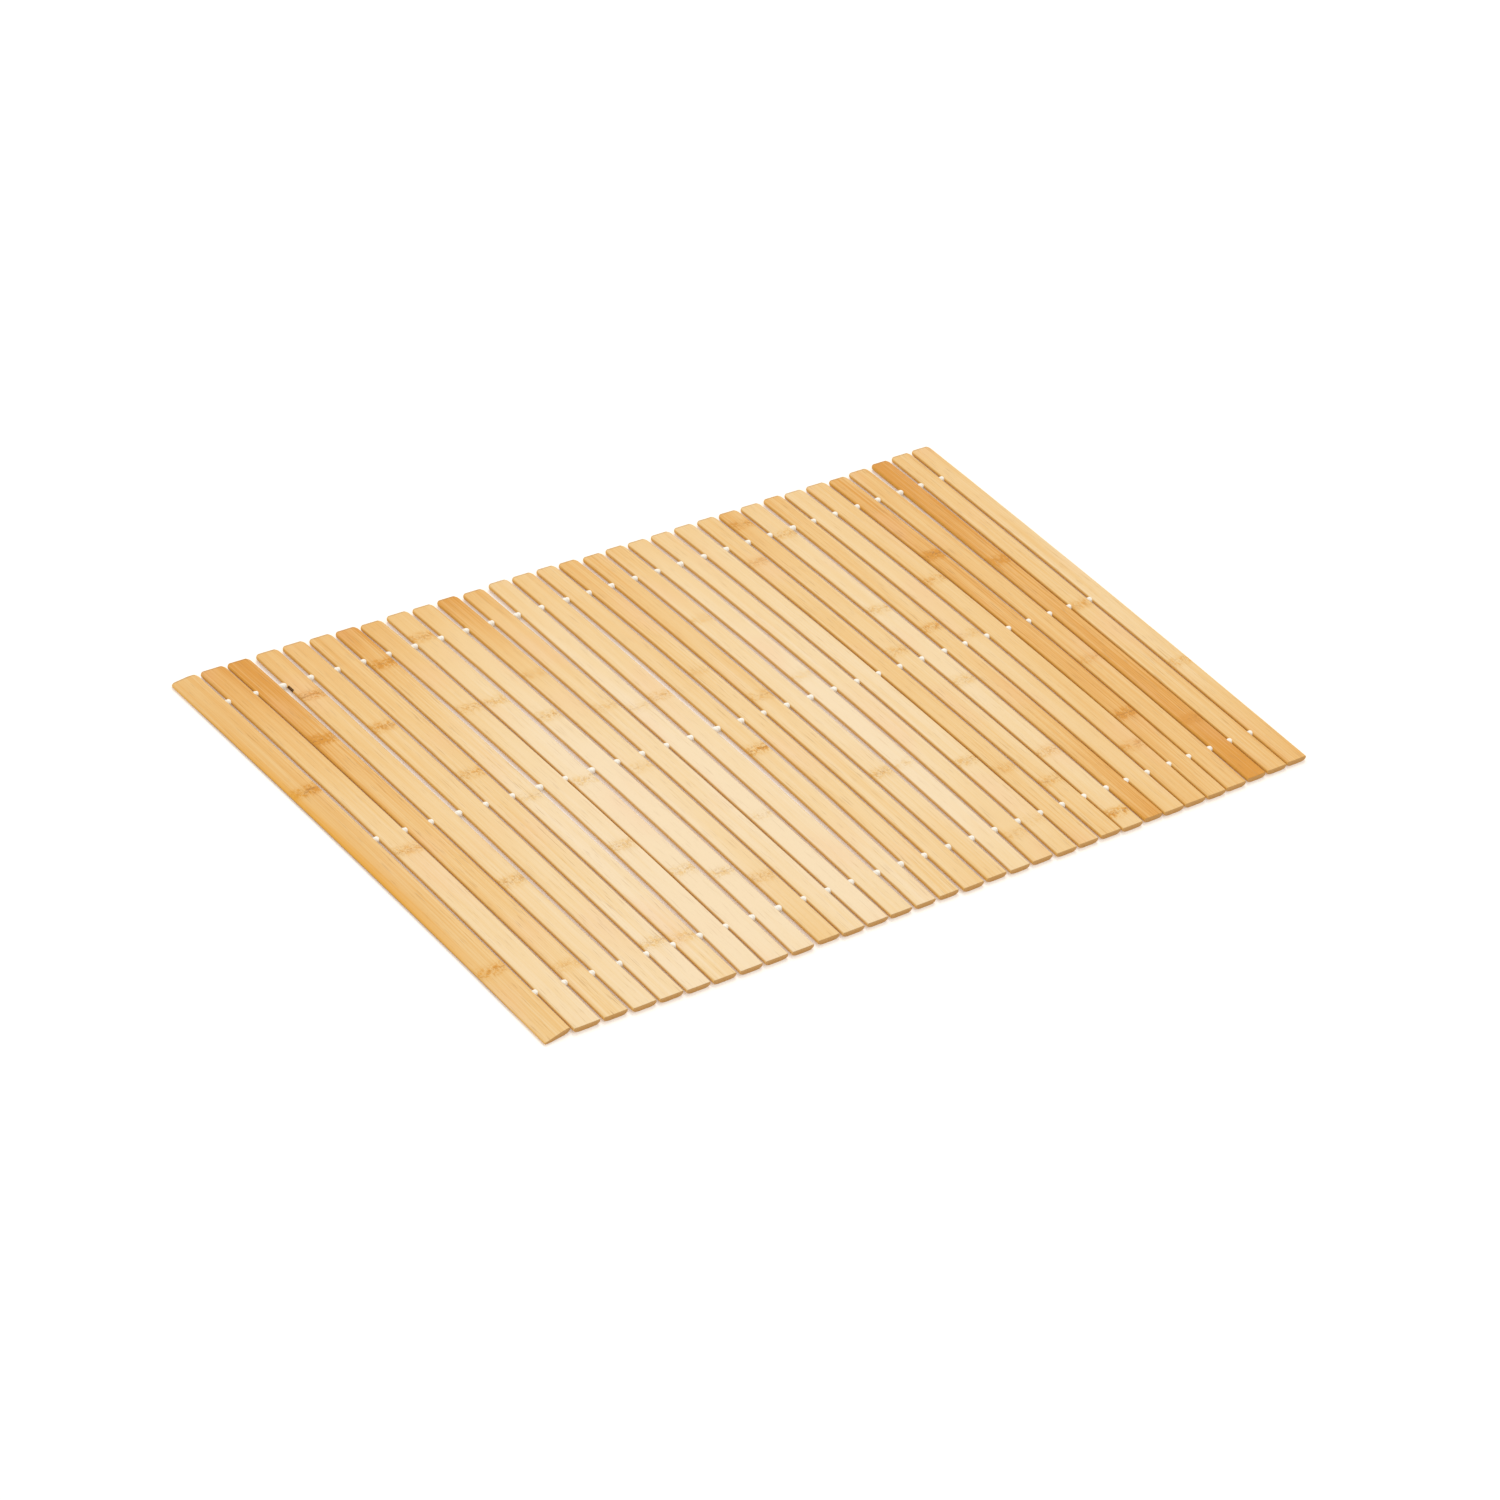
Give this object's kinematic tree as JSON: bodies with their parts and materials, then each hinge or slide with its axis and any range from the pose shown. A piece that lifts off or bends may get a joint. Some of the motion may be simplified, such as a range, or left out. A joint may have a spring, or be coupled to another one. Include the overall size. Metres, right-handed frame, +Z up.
{
  "type": "bamboo mat",
  "caption": "Flat floor mat of bamboo slats strung edge to edge on white cords, with rounded slat edges and slightly uneven ends.",
  "frame": {"origin": "on the floor under the middle of the mat's box", "axes": "+X along the mat, across the slats; +Y along the slats; +Z up"},
  "size_m": [0.7212, 0.5096, 0.0044],
  "materials": {
    "bamboo_pale": "satin",
    "bamboo_light": "satin",
    "bamboo_honey": "satin",
    "bamboo_amber": "satin",
    "cord": "matte"
  },
  "bodies": {
    "root": {"slat_01": "bamboo_honey", "slat_02": "bamboo_light", "slat_03": "bamboo_amber", "slat_04": "bamboo_light", "slat_05": "bamboo_light", "slat_06": "bamboo_honey", "slat_07": "bamboo_honey", "slat_08": "bamboo_pale", "slat_09": "bamboo_pale", "slat_10": "bamboo_pale", "slat_11": "bamboo_light", "slat_12": "bamboo_light", "slat_13": "bamboo_pale", "slat_14": "bamboo_pale", "slat_15": "bamboo_light", "slat_16": "bamboo_honey", "slat_17": "bamboo_honey", "slat_18": "bamboo_light", "slat_19": "bamboo_pale", "slat_20": "bamboo_light", "slat_21": "bamboo_light", "slat_22": "bamboo_honey", "slat_23": "bamboo_honey", "slat_24": "bamboo_pale", "slat_25": "bamboo_honey", "slat_26": "bamboo_pale", "slat_27": "bamboo_light", "slat_28": "bamboo_amber", "slat_29": "bamboo_honey", "slat_30": "bamboo_amber", "slat_31": "bamboo_honey", "slat_32": "bamboo_honey", "cord_far": "cord", "cord_middle": "cord", "cord_near": "cord"}
  },
  "joints": []
}
